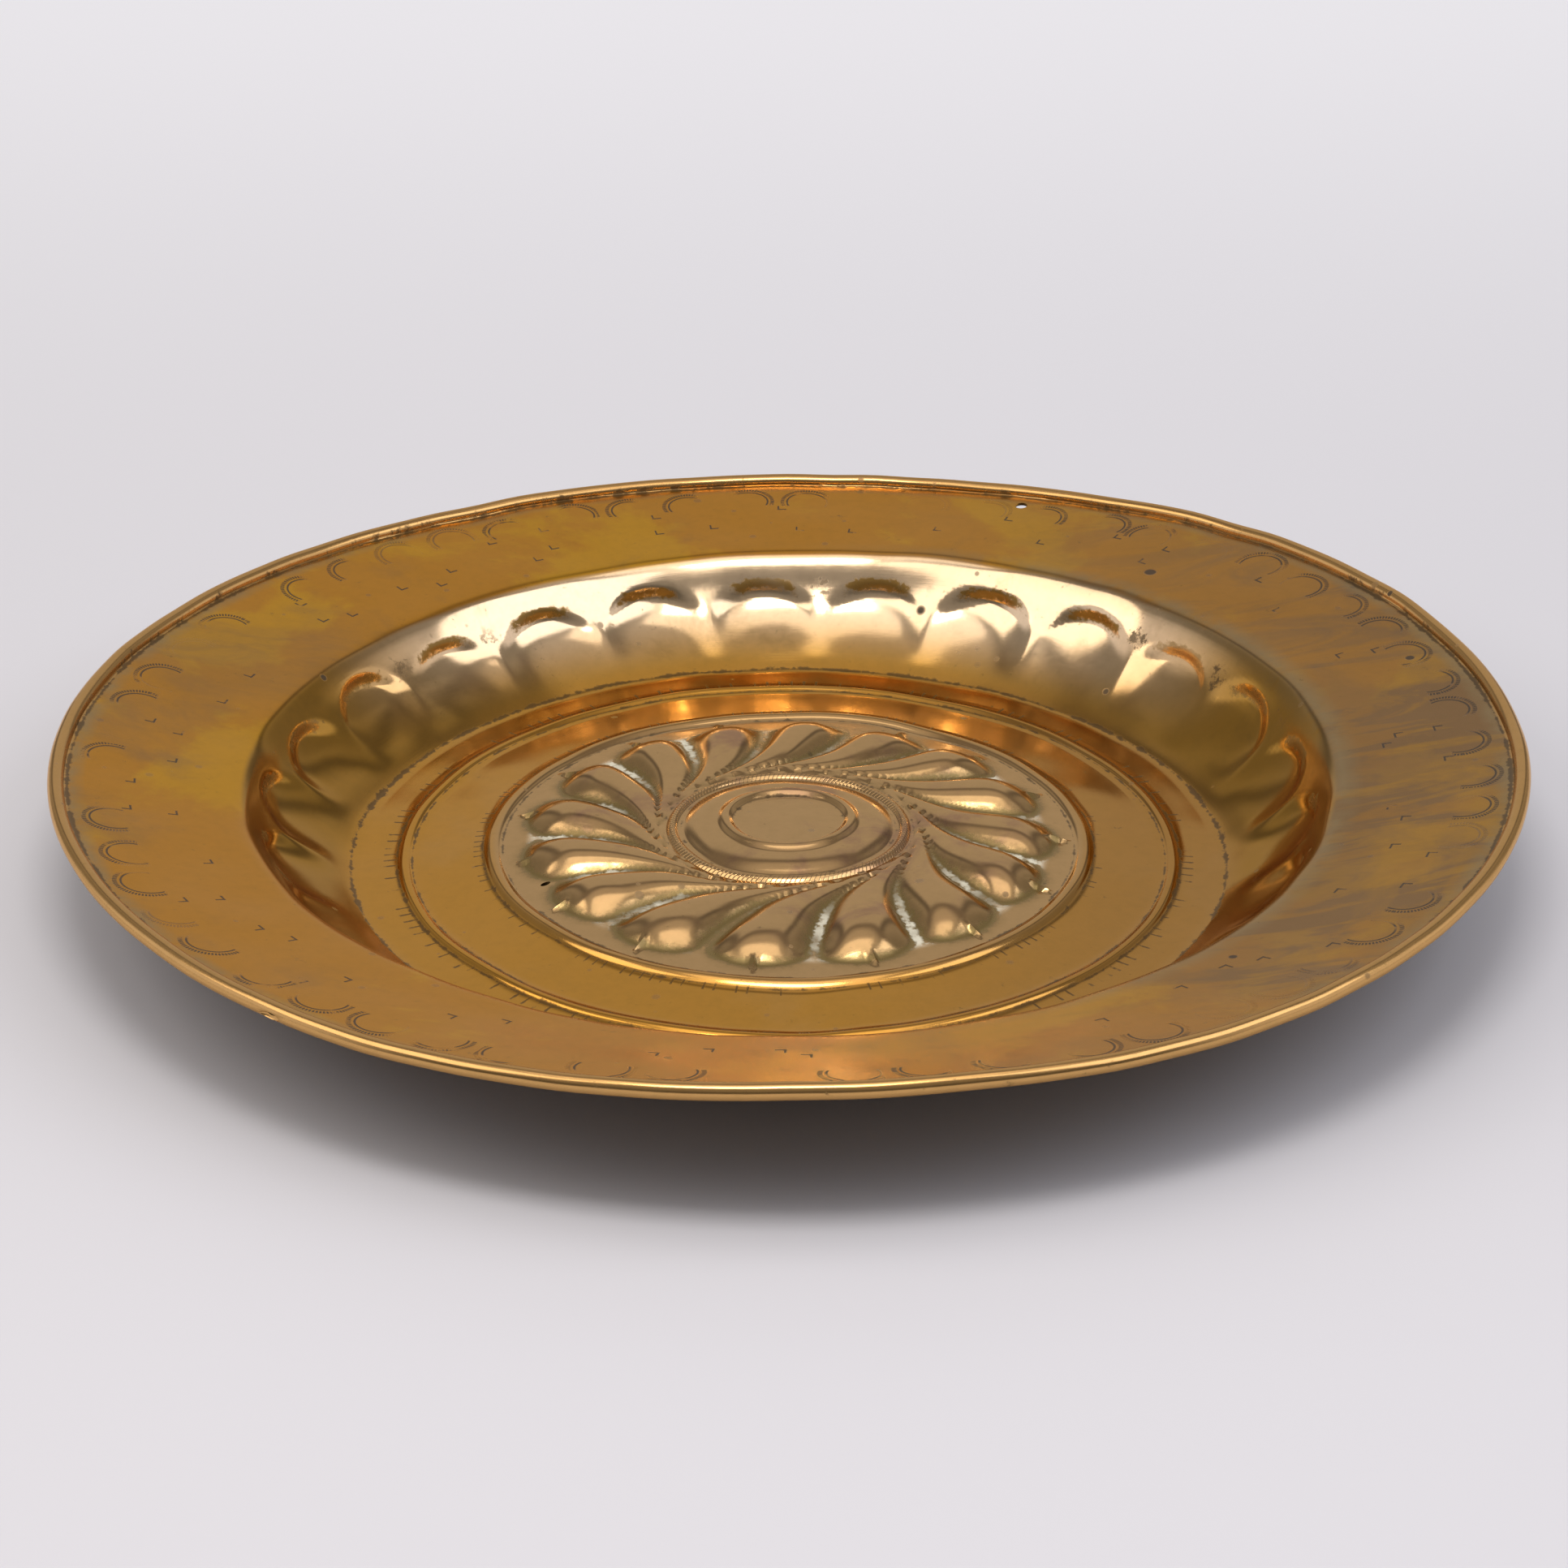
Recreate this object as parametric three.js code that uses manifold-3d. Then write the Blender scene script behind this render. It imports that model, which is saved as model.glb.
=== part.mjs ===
// A raised brass alms dish: one embossed sheet whose edge is rolled over an iron wire.
// Millimetres, +Z up. The origin is the centre of the flat ring that the dish rests on.

import * as THREE from 'three';
import { mergeVertices } from 'three/addons/utils/BufferGeometryUtils.js';
import Module from 'manifold-3d';

// Driving dimensions of the sheet
const dishRadius = 210;
const sheetThickness = 0.9;
const segments = 100; // steps round the dish, four to each wall scoop

// Floor, from the middle outwards
const discRadius = 17.2;
const discHeight = 10.6;
const discRimHeight = 0.6;
const bossEdge = 30.8;
const groundRise = 6.6; // how far the ground climbs from the outer moulding to the cable ring
const cableRing = { radius: 33.6, halfWidth: 2.8, height: 1.6 };
const innerMoulding = { radius: 86.2, halfWidth: 3.0, height: 1.7 };
const outerMoulding = { radius: 111.7, halfWidth: 2.3, height: 1.5 };
const floorEdge = 126.8;

// Well wall, shoulder and flange
const wallPull = new THREE.Vector2(141, 9.5); // control point that hollows the wall
const wallTop = new THREE.Vector2(154.5, 25.6);
const shoulderCorner = new THREE.Vector2(157.6, 29.2);
const flangeStart = new THREE.Vector2(162, 30.1);
const rimWireHeight = 38.7;

// Rolled edge
const wireRadius = 1.0;
const rollInside = 1.4;
const rollOutside = rollInside + sheetThickness;
const rimWireCircle = dishRadius - rollOutside;
const rollFrom = 165; // degrees round the wire, where the flange turns up into the roll
const rollTurn = 315;
const rollSteps = 6;

// Whirling rosette
const lobeCount = 16;
const firstLobe = 16.3; // degrees from +X
const lobeDrift = { swing: 4.75, phase: 85 }; // the hand layout is wider on one side
const lobeTip = 79;
const lobeRound = 8.5;
const lobeTail = 36;
const bulbHeight = 3.6;
const tailHeight = 1.0;
const sweepRate = 5.4; // degrees, the swirl of the tails round the boss
const sweepStart = 75;
const sweepCentre = 33;

// Scoops in the wall
const scoopCount = 25;
const firstScoop = 6.8;
const scoopDepth = 2.4;
const scoopLip = 22;
const scoopArch = 6;
const scoopFoot = 3.5;

// Wear: the hammered flange is out of true. Each row is [waves round the dish, height, crest in degrees].
const shoulderWarp = [[1, 2.3, 25], [2, 1.4, 25]];
const rimWarp = [[1, 2.7, -50], [2, 1.5, 16], [3, 0.85, 40], [4, 0.36, 17], [5, 0.38, -23], [6, 0.41, -24]];

// Holes, placed by radius and degrees from +X
const hangingHole = { radius: 199, angle: 67, length: 4.0, width: 4.0 };
const floorTear = { radius: 75, angle: 202.6, length: 3.2, width: 1.8, turn: 40 };
const nick = { angle: 232, length: 5.6, width: 2.0, height: 2.4 };

const wasm = await Module();
wasm.setup();

const { clamp, degToRad, lerp, smoothstep } = THREE.MathUtils;

// Half-round ridge on a ring, as a height above the ground beside it
function ridge(radius, ring) {
  const across = Math.min(1, Math.abs(radius - ring.radius) / ring.halfWidth);
  return ring.height * Math.sqrt(1 - across * across);
}

// Top of the floor without the pressed lobes
function floorHeight(radius) {
  if (radius < discRadius) {
    return discHeight;
  }
  const climb = clamp((outerMoulding.radius - radius) / (outerMoulding.radius - cableRing.radius), 0, 1);
  const ground = sheetThickness + groundRise * climb;
  if (radius < bossEdge) {
    const dome = (bossEdge - radius) / (bossEdge - discRadius);
    return lerp(ground, discHeight + discRimHeight, Math.sin(dome * Math.PI / 2));
  }
  return ground + ridge(radius, cableRing) + ridge(radius, innerMoulding) + ridge(radius, outerMoulding);
}

const acrossRing = (ring) => [-1, 0, 1].map((side) => ring.radius + side * ring.halfWidth);

// Radii where the floor has points, outside the boss in its middle
const floorRadii = [
  ...acrossRing(cableRing), 52, 66, 73, 78, ...acrossRing(innerMoulding), ...acrossRing(outerMoulding), floorEdge,
];

// The same line moved square to itself, for the underside of a sheet
function offsetLine(points, distance) {
  return points.map((point, index) => {
    const before = points[Math.max(0, index - 1)];
    const after = points[Math.min(points.length - 1, index + 1)];
    const along = after.clone().sub(before).normalize();
    return new THREE.Vector2(point.x + along.y * distance, point.y - along.x * distance);
  });
}

// Top line of the well wall and shoulder, from the floor's edge to the flat of the flange
function wallLine(wallSteps, shoulderSteps) {
  const foot = new THREE.Vector2(floorEdge, sheetThickness);
  const wall = new THREE.QuadraticBezierCurve(foot, wallPull, wallTop).getPoints(wallSteps);
  const shoulder = new THREE.QuadraticBezierCurve(wallTop, shoulderCorner, flangeStart);
  return [...wall.slice(1), ...shoulder.getPoints(shoulderSteps).slice(1)];
}

// Arc of the rolled edge round the wire, clockwise from the flange
function rollArc(radius) {
  return Array.from({ length: rollSteps + 1 }, (_, step) => {
    const angle = degToRad(rollFrom - rollTurn * step / rollSteps);
    return new THREE.Vector2(
      rimWireCircle + radius * Math.cos(angle),
      rimWireHeight + radius * Math.sin(angle),
    );
  });
}

// Closed section of the sheet: underside outwards, round the roll, and back in over the top
function sheetSection() {
  const topFloor = [discRadius, 21, 26, ...floorRadii].map((r) => new THREE.Vector2(r, floorHeight(r)));
  const underFloor = [discRadius, ...floorRadii].map((r) => new THREE.Vector2(r, floorHeight(r) - sheetThickness));
  const topWall = wallLine(5, 2);
  const outsideRoll = rollArc(rollOutside);
  const underWall = offsetLine([...topWall, outsideRoll[0]], sheetThickness).slice(0, -1);
  return [
    new THREE.Vector2(0, discHeight - sheetThickness),
    ...underFloor,
    ...underWall,
    ...rollArc(rollInside),
    ...outsideRoll.reverse(),
    ...topWall.reverse(),
    ...topFloor.reverse(),
    new THREE.Vector2(0, discHeight),
  ];
}

function waves(rows, angle) {
  return rows.reduce((sum, [count, height, crest]) => sum + height * Math.cos(count * (angle - degToRad(crest))), 0);
}

// How far the flange stands out of true at a place
function warp(radius, angle) {
  const shoulderShare = smoothstep(radius, floorEdge, shoulderCorner.x);
  const rimShare = clamp((radius - shoulderCorner.x) / (rimWireCircle - rollOutside - shoulderCorner.x), 0, 1);
  return shoulderShare * lerp(waves(shoulderWarp, angle), waves(rimWarp, angle), rimShare);
}

// Place across one of a ring of equal parts: -1 and 1 at its edges, 0 in its middle
function placeAcross(turns) {
  return 2 * (turns - Math.round(turns));
}

// Height of the rosette's lobes above the ground
function rosette(radius, angle) {
  if (radius < lobeTail || radius > lobeTip) {
    return 0;
  }
  const sweep = sweepRate * Math.max(0, (sweepStart - radius) / (radius - sweepCentre));
  const degrees = THREE.MathUtils.radToDeg(angle) - sweep;
  const drift = lobeDrift.swing * Math.sin(degToRad(degrees + lobeDrift.phase));
  const across = placeAcross((degrees - drift - firstLobe) * lobeCount / 360);
  const outline = lobeTip - lobeRound * (1 - Math.sqrt(1 - across * across));
  const fromOutline = clamp((outline - radius) / lobeRound, 0, 1);
  const height = lerp(tailHeight, bulbHeight, smoothstep(radius, lobeTail, lobeTip - lobeRound));
  return height * Math.sqrt(fromOutline) * (1 - across * across);
}

// How far a scoop pushes the wall outwards at a place
function scoop(height, angle) {
  const across = placeAcross((THREE.MathUtils.radToDeg(angle) - firstScoop) * scoopCount / 360);
  const lip = scoopLip - scoopArch * (1 - Math.sqrt(1 - across * across));
  const fade = smoothstep(height, scoopFoot, 2 * scoopFoot) * (1 - smoothstep(height, lip - 2.5, lip + 1.5));
  return scoopDepth * (1 - across * across) * fade;
}

// Press the lobes and scoops into a spun section, then put it out of true
function emboss(geometry) {
  const places = geometry.attributes.position;
  for (let index = 0; index < places.count; index++) {
    const x = places.getX(index);
    const y = places.getY(index);
    const z = places.getZ(index);
    const angle = Math.atan2(y, x);
    const radius = Math.hypot(x, y);
    const onWall = radius > floorEdge && radius < wallTop.x;
    const pushed = radius + (onWall ? scoop(z, angle) : 0);
    const height = z + rosette(radius, angle) + warp(pushed, angle);
    places.setXYZ(index, pushed * Math.cos(angle), pushed * Math.sin(angle), height);
  }
  return geometry;
}

// Position-only geometry with shared vertices, which is what the booleans and the export need
function closed(geometry) {
  const bare = geometry.clone();
  bare.deleteAttribute('normal');
  bare.deleteAttribute('uv');
  return mergeVertices(bare, 1e-3);
}

function toManifold(geometry) {
  const { attributes, index } = closed(geometry);
  return new wasm.Manifold(new wasm.Mesh({
    numProp: 3,
    vertProperties: new Float32Array(attributes.position.array),
    triVerts: new Uint32Array(index.array),
  }));
}

function fromManifold(manifold) {
  const mesh = manifold.getMesh();
  const geometry = new THREE.BufferGeometry();
  geometry.setAttribute('position', new THREE.BufferAttribute(mesh.vertProperties, 3));
  geometry.setIndex(new THREE.BufferAttribute(mesh.triVerts, 1));
  geometry.computeVertexNormals();
  return geometry;
}

// Upright cutter for a round or long hole
function holeCutter({ radius, angle, length, width, turn = 0 }, height) {
  const around = degToRad(angle);
  return new THREE.CylinderGeometry(0.5, 0.5, 12, 12)
    .rotateX(Math.PI / 2)
    .scale(length, width, 1)
    .rotateZ(degToRad(turn))
    .translate(radius * Math.cos(around), radius * Math.sin(around), height);
}

// Rounded cutter that bites the lower outside of the rolled edge
function nickCutter() {
  const around = degToRad(nick.angle);
  const height = rimWireHeight - rollOutside / 2 + waves(rimWarp, around);
  return new THREE.SphereGeometry(0.5, 12, 8)
    .scale(nick.width, nick.length, nick.height)
    .rotateZ(around)
    .translate(dishRadius * Math.cos(around), dishRadius * Math.sin(around), height);
}

function dishSheet() {
  const spun = new THREE.LatheGeometry(sheetSection(), segments).rotateX(Math.PI / 2);
  const sheet = toManifold(emboss(spun));
  const cutters = [
    holeCutter(hangingHole, rimWireHeight),
    holeCutter(floorTear, floorHeight(floorTear.radius)),
    nickCutter(),
  ];
  return fromManifold(cutters.reduce((rest, cutter) => rest.subtract(toManifold(cutter)), sheet));
}

function rimWire() {
  const ring = new THREE.TorusGeometry(rimWireCircle, wireRadius, 6, segments).translate(0, 0, rimWireHeight);
  return closed(emboss(ring));
}

const brass = new THREE.MeshStandardMaterial({ color: 0xa8763a, roughness: 0.3, metalness: 1 });
const iron = new THREE.MeshStandardMaterial({ color: 0x2b2622, roughness: 0.8, metalness: 0.6 });

function named(name, geometry, material) {
  const mesh = new THREE.Mesh(geometry, material);
  mesh.name = name;
  return mesh;
}

const group = new THREE.Group();
group.add(
  named('dish_sheet', dishSheet(), brass),
  named('rim_wire', rimWire(), iron),
);

export default group;
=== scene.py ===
# A raised brass alms dish: whirling rosette, scooped well wall, stamped flange, edge rolled over an iron wire
import math
import random

import bpy
import numpy as np
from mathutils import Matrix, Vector


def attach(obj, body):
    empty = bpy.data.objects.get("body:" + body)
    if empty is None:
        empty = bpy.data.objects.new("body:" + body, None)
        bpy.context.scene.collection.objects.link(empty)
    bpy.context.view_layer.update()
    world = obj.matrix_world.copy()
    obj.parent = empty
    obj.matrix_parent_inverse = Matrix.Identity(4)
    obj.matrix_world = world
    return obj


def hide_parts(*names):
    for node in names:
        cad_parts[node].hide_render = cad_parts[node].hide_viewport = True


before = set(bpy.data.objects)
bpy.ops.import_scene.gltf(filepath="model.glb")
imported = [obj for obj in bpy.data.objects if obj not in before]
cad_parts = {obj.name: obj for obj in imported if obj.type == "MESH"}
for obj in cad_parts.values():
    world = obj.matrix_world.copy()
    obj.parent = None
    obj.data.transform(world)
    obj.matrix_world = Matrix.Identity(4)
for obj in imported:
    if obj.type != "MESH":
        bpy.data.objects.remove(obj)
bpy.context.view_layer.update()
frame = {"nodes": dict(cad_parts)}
mm = 0.001
print("frame loaded:", ", ".join(frame["nodes"]))


# small helpers for shapes

def smooth(value, start, end):
    t = np.clip((value - start) / (end - start), 0, 1)
    return t * t * (3 - 2 * t)


def mix(a, b, share):
    return a + (b - a) * share


def lineThrough(points):
    # monotone curve through a few (place, height) points, so that a profile has no overshoot
    x, y = np.array(points, float).T
    step = np.diff(x)
    slope = np.diff(y) / step
    tangent = np.concatenate(([slope[0]], np.zeros(len(x) - 2), [slope[-1]]))
    for i in range(1, len(x) - 1):
        if slope[i - 1] * slope[i] > 0:
            tangent[i] = 2 / (1 / slope[i - 1] + 1 / slope[i])

    def at(place):
        i = np.clip(np.searchsorted(x, place) - 1, 0, len(step) - 1)
        t = (place - x[i]) / step[i]
        h = step[i]
        return (
            y[i] * (2 * t**3 - 3 * t**2 + 1) + h * tangent[i] * (t**3 - 2 * t**2 + t)
            + y[i + 1] * (3 * t**2 - 2 * t**3) + h * tangent[i + 1] * (t**3 - t**2)
        )

    return at


# the dish's form, in millimetres and degrees from +X

sheet = {
    "thickness": 0.9,
    "bossLine": [  # disc in the middle, its lip, and the shoulder down to the cable ring
        (0, 10.0), (8, 10.05), (15.0, 10.1), (15.8, 10.15), (17.0, 11.2), (18.0, 11.75), (19.2, 11.45),
        (20.8, 10.35), (22.0, 10.15), (24.0, 10.1), (26.6, 9.6), (29.0, 8.6), (30.6, 7.7), (31.4, 7.4),
    ],
    "groundFrom": 31.4,
    "groundRise": 6.6,
    "floorEdge": 126.8,
    "cable": {"radius": 33.9, "halfWidth": 1.7, "height": 1.1, "ticks": 160, "slant": 0.5},
    "innerMoulding": {"radius": 86.2, "halfWidth": 2.7, "height": 1.5},
    "outerMoulding": {"radius": 111.7, "halfWidth": 2.2, "height": 1.3},
    "wallLine": [  # radius and height up the wall, over the shoulder and out along the flange
        (126.8, 0.9), (129, 2.1), (133, 4.6), (139, 8.8), (145, 14.2), (150, 20.2), (153.6, 25.4),
        (155.6, 27.9), (157.2, 29.1), (158.9, 29.75), (161, 30.15), (170, 31.6), (187, 34.7), (203.9, 37.75),
        (205.2, 37.95),
    ],
    "rollCentre": (207.7, 38.7),
    "rollInside": 1.4,
    "rollFrom": 193,  # the flange turns up into the roll here, and its edge is tucked under at the end
    "rollTurn": 300,
    "rollSteps": {"outside": 16, "inside": 9},
    "rollLag": 8,  # degrees by which the roll starts later inside than outside
    "rollBack": {"radius": 206.2, "under": 0.85},  # where the inside of the roll meets the underside
}

rosette = {
    "count": 16, "first": 16.3, "swing": 4.75, "phase": 85,
    "tip": 77.6, "round": 9.0, "tail": 36.0, "bulb": 68.0,
    "valley": 1.5, "valleyStart": 36, "valleyFull": 56,
    "bulbHeight": 5.2, "tailHeight": 0.9, "nose": 15, "fullness": 2.5, "uneven": 0.07, "seed": 9,
    "sweep": 5.4, "sweepStart": 75, "sweepCentre": 33,
    "spikeRoot": 72, "spikeFull": 76, "spikeFrom": 74.5, "spikeTo": 83.2,
    "spikeHeight": 2.6, "spikeWidth": 1.6,
}

scoops = {
    "count": 25, "first": 6.8, "depth": 1.9,
    "lipHeight": 22.6, "rise": 9.5, "lipWidth": 2.7, "sideWidth": 7.5,
    "foot": 2.5, "fade": 15.0, "uneven": 0.22, "seed": 3,
    "tongue": 0.3, "tongueFoot": (3, 8), "tongueTop": (9, 17),  # raised tongues between the scoops' feet
}

outOfTrue = {  # waves round the dish, height in mm, where the crest is
    "shoulder": [(1, 2.3, 25), (2, 1.4, 25)],
    "rim": [(1, 2.7, -50), (2, 1.5, 16), (3, 0.85, 40), (4, 0.36, 17), (5, 0.38, -23), (6, 0.41, -24)],
    "shoulderRadius": 157.6, "rimRadius": 205.4,
    "hammer": 0.17, "hammerWaves": 34, "hammerLength": (18, 64), "seed": 4,
    "wallHammer": 1.2, "roughFrom": (128, 138), "roughTo": (150, 160),  # the wall is rougher than the rest
}

holes = {
    "hanging": {"radius": 199.2, "angle": 67.1, "length": 4.0, "width": 4.0},
    "tear": {"radius": 75.0, "angle": 202.6, "length": 3.2, "width": 1.8, "turn": 40},
    "nick": {"angle": 232.1, "length": 6.6, "width": 2.4, "height": 2.4},
}

ringCounts = {"fine": 512, "plain": 256}


def ridge(r, ring):
    across = (r - ring["radius"]) / ring["halfWidth"]
    return ring["height"] * np.clip(1 - across**2, 0, None) ** 1.15


bossHeight = lineThrough(sheet["bossLine"])
wallHeight = lineThrough(sheet["wallLine"])


def floorHeight(r):
    outer, cable = sheet["outerMoulding"]["radius"], sheet["cable"]["radius"]
    rise = np.clip((outer - r) / (outer - cable), 0, 1)
    ground = sheet["thickness"] + sheet["groundRise"] * rise
    return np.where(r < sheet["groundFrom"], bossHeight(r), ground)


def waves(rows, degrees):
    return sum(height * np.cos(np.radians(count * (degrees - crest))) for count, height, crest in rows)


def warp(r, degrees):
    shoulderShare = smooth(r, sheet["floorEdge"], outOfTrue["shoulderRadius"])
    rimShare = np.clip(
        (r - outOfTrue["shoulderRadius"]) / (outOfTrue["rimRadius"] - outOfTrue["shoulderRadius"]), 0, 1
    )
    shoulderLift, rimLift = waves(outOfTrue["shoulder"], degrees), waves(outOfTrue["rim"], degrees)
    return shoulderShare * mix(shoulderLift, rimLift, rimShare)


def hammerWaves():
    # long shallow waves, as planishing leaves them
    draw = random.Random(outOfTrue["seed"])
    rows = []
    for _ in range(outOfTrue["hammerWaves"]):
        heading, length = draw.uniform(0, 2 * math.pi), draw.uniform(*outOfTrue["hammerLength"])
        rows.append((
            math.cos(heading) * 2 * math.pi / length, math.sin(heading) * 2 * math.pi / length,
            draw.uniform(0, 2 * math.pi), length / 45,
        ))
    return rows


hammerRows = hammerWaves()


def hammered(r, degrees):
    x, y = r * np.cos(np.radians(degrees)), r * np.sin(np.radians(degrees))
    total = sum(size * np.sin(x * kx + y * ky + shift) for kx, ky, shift, size in hammerRows)
    total = total / math.sqrt(len(hammerRows) / 2)
    onWall = smooth(r, *outOfTrue["roughFrom"]) * (1 - smooth(r, *outOfTrue["roughTo"]))
    return outOfTrue["hammer"] * (1 + outOfTrue["wallHammer"] * onWall) * total


def lobePlace(r, degrees):
    # how far across its lobe a point lies, -1 to 1, after undoing the whirl
    whirl = rosette["sweep"] * np.clip(rosette["sweepStart"] - r, 0, None) / (r - rosette["sweepCentre"])
    straight = degrees - whirl
    drift = rosette["swing"] * np.sin(np.radians(straight + rosette["phase"]))
    turns = (straight - drift - rosette["first"]) * rosette["count"] / 360
    return 2 * (turns - np.round(turns))


def lobeEdge(r, degrees):
    # millimetres in from the lobe's sides and from its round end, negative outside them
    across = lobePlace(r, degrees)
    pitch = r * math.pi / rosette["count"]
    valley = rosette["valley"] * smooth(r, rosette["valleyStart"], rosette["valleyFull"])
    sides = (1 - np.abs(across)) * pitch - valley
    end = rosette["tip"] - rosette["round"] * (1 - np.sqrt(1 - across**2)) - r
    return sides, end, across, pitch


def spreadOf(settings):
    # one small random number per lobe or scoop, so that no two are alike
    draw = random.Random(settings["seed"])
    return np.array([draw.uniform(-1, 1) for _ in range(settings["count"])])


lobeSpread, scoopSpread = spreadOf(rosette), spreadOf(scoops)


def lobeNumber(r, degrees):
    whirl = rosette["sweep"] * np.clip(rosette["sweepStart"] - r, 0, None) / (r - rosette["sweepCentre"])
    turns = (degrees - whirl - rosette["first"]) * rosette["count"] / 360
    return np.round(turns).astype(int) % rosette["count"]


def lobes(r, degrees):
    if np.max(r) < rosette["tail"] or np.min(r) > rosette["spikeTo"]:
        return np.zeros_like(degrees)
    sides, end, across, pitch = lobeEdge(r, degrees)
    growth = smooth(r, rosette["tail"], rosette["bulb"]) ** 0.8
    height = mix(rosette["tailHeight"], rosette["bulbHeight"], growth)
    height = height * (1 + rosette["uneven"] * lobeSpread[lobeNumber(r, degrees)] * smooth(sides, 0, 3))
    wide = np.clip(sides / (pitch - rosette["valley"]), 0, 1)
    crown = 1 - (1 - wide) ** rosette["fullness"]
    nose = 1 - (1 - np.clip(end / rosette["nose"], 0, 1)) ** rosette["fullness"]
    along = np.clip((rosette["spikeTo"] - r) / (rosette["spikeTo"] - rosette["spikeFrom"]), 0, 1)
    beside = np.abs(across) * pitch / (rosette["spikeWidth"] * np.maximum(along, 0.1))
    root = smooth(r, rosette["spikeRoot"], rosette["spikeFull"])
    spike = rosette["spikeHeight"] * along**0.8 * root * np.clip(1 - beside**1.5, 0, None)
    start = smooth(r, rosette["tail"] - 0.5, rosette["tail"] + 2.5)
    return np.maximum(height * crown * nose * start, spike)


def scoopPlace(degrees):
    turns = (degrees - scoops["first"]) * scoops["count"] / 360
    return 2 * (turns - np.round(turns))


def scoopLip(across):
    return scoops["lipHeight"] - scoops["rise"] * (1 - np.sqrt(np.clip(1 - across**2, 0, 1)))


def scoop(z, degrees):
    # depth of the scoops below the wall's own line, with a firm lip on top, soft sides and a soft foot
    across = scoopPlace(degrees)
    which = np.round((degrees - scoops["first"]) * scoops["count"] / 360).astype(int) % scoops["count"]
    spread = scoopSpread[which] * (1 - across**2)
    width = mix(scoops["lipWidth"], scoops["sideWidth"], across**2)
    lip = smooth(scoopLip(across) + 1.1 * spread - z, -0.4, width)
    bowl = 1 - np.abs(across) ** 2.2
    fade = smooth(z, scoops["foot"], scoops["foot"] + scoops["fade"])
    tongue = scoops["tongue"] * smooth(np.abs(across), 0.5, 0.95)
    tongue = tongue * smooth(z, *scoops["tongueFoot"]) * (1 - smooth(z, *scoops["tongueTop"]))
    return scoops["depth"] * (1 + scoops["uneven"] * spread) * lip * bowl * fade - tongue


# rings of points from the middle, round the roll and back underneath

stretches = {  # where a stretch of rings ends, the step between its rings, and how many points each ring has
    "middle": 4,
    "top": [
        (14.8, 3.6, "plain"), (31.2, 0.82, "plain"), (35.6, 0.5, "fine"), (62, 1.15, "fine"),
        (83.6, 0.9, "fine"), (88.8, 0.65, "plain"), (109.7, 3.0, "plain"), (113.7, 0.57, "plain"),
        (126.8, 3.3, "plain"),
    ],
    "wall": [
        (131, 0.85, "fine"), (158, 0.82, "fine"), (162, 1.0, "plain"), (203.9, 3.5, "plain"),
        (205.2, 0.65, "plain"),
    ],
}


def ringPlaces(start, rows):
    places = []
    for end, step, count in rows:
        steps = max(1, round((end - start) / step))
        places += [(start + (end - start) * i / steps, ringCounts[count]) for i in range(1, steps + 1)]
        start = end
    return places


topRings = [(stretches["middle"], ringCounts["plain"])] + ringPlaces(stretches["middle"], stretches["top"])
wallRings = ringPlaces(sheet["floorEdge"], stretches["wall"])


def anglesOf(count):
    return np.arange(count) * 360 / count


def topPoint(r, degrees, under):
    # height of the top face at a floor radius, or of the underside, eroded so that it never breaks through
    def relief(radius, angle):
        ring = sum(ridge(radius, sheet[name]) for name in ("cable", "innerMoulding", "outerMoulding"))
        return floorHeight(radius) + ring + lobes(radius, angle)

    if not under:
        return relief(r, degrees)
    cell = 360 / ringCounts["plain"]
    shifts = [(0, 0), (0, cell), (0, -cell), (1.3, 0), (-1.3, 0), (1.0, 0.7 * cell), (-1.0, -0.7 * cell)]
    heights = [relief(np.maximum(r + dr, 0.1), degrees + da) for dr, da in shifts]
    return np.min(heights, axis=0) - sheet["thickness"]


def wallPoint(r, degrees, under):
    # a point on the wall or flange, pushed out by the scoops along the wall's own normal
    z = wallHeight(r)
    rise = (wallHeight(r + 0.3) - wallHeight(r - 0.3)) / 0.6
    outward, down = rise / math.hypot(1, rise), -1 / math.hypot(1, rise)
    if under:
        cell = 360 / ringCounts["plain"]
        shifts = [(0, 0), (0.7, 0), (-0.7, 0), (0, cell), (0, -cell)]
        push = np.max([scoop(z + dz, degrees + da) for dz, da in shifts], axis=0)
        push = push + sheet["thickness"]
    else:
        push = scoop(z, degrees)
    if r <= sheet["floorEdge"] + 0.01:
        outward, down = 0.0, -1.0
    return r + push * outward, z + push * down


def ringOf(radii, heights, degrees):
    radii = np.broadcast_to(radii, degrees.shape)
    lift = warp(radii, degrees) + hammered(radii, degrees)
    heights = heights + lift
    a = np.radians(degrees)
    return np.stack([radii * np.cos(a), radii * np.sin(a), heights], axis=1)


def restingRing(radii, heights, degrees):
    # a ring of the underside, worn flat where it would reach below what the dish stands on
    ring = ringOf(radii, heights, degrees)
    ring[:, 2] = np.maximum(ring[:, 2], 0)
    return ring


def rollRings():
    centre, count = sheet["rollCentre"], ringCounts["plain"]
    outer, inner = sheet["rollInside"] + sheet["thickness"], sheet["rollInside"]
    start, turns, lag = sheet["rollFrom"], sheet["rollTurn"], sheet["rollLag"]
    steps, fewer = sheet["rollSteps"]["outside"], sheet["rollSteps"]["inside"]
    outside = [start - turns * i / steps for i in range(steps + 1)]
    inside = [start + lag - (turns + lag) * i / fewer for i in range(fewer + 1)]
    places = [(outer, turn) for turn in outside] + [(inner, turn) for turn in reversed(inside)]
    degrees = anglesOf(count)
    rows = []
    for radius, turn in places:
        t = math.radians(turn)
        rows.append((centre[0] + radius * math.cos(t), centre[1] + radius * math.sin(t)))
    return [rollRing(r, z, degrees) for r, z in rows]


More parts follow.
